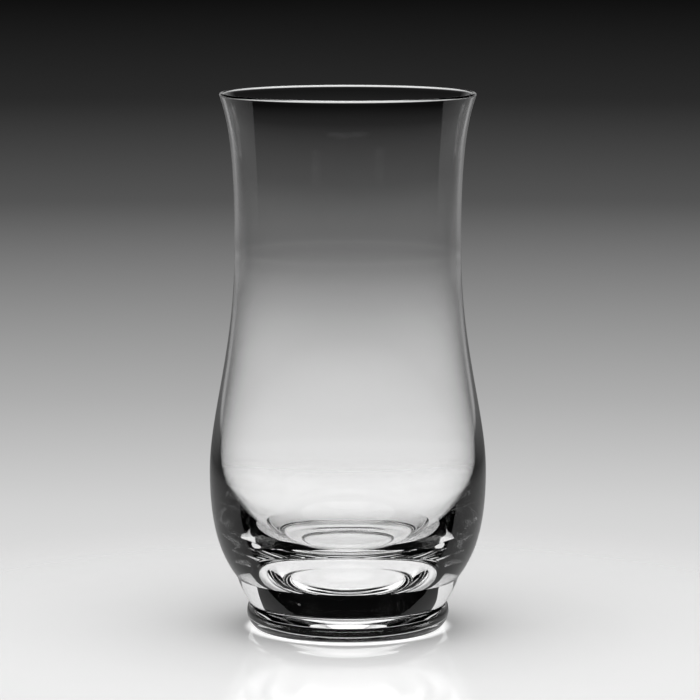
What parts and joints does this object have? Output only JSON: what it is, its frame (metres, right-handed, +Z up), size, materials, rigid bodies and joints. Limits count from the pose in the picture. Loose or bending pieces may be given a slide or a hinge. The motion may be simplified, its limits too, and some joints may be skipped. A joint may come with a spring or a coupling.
{
  "type": "highball tumbler",
  "caption": "Clear glass highball tumbler: flared rim, drawn-in waist, round belly over a heavy solid bottom, and a short conical collar on a thick round foot.",
  "frame": {"origin": "centre of the standing surface, under the middle of the foot", "axes": "+Z up along the axis that the glass is turned about; it is round, so +X and +Y are free"},
  "size_m": [0.0774, 0.0774, 0.15],
  "materials": {
    "clear_glass": "clear colourless blown glass, fire polished inside and out, with the standing ring ground flat and polished"
  },
  "bodies": {
    "root": {"bowl": "clear_glass", "collar": "clear_glass", "foot": "clear_glass"}
  },
  "joints": []
}
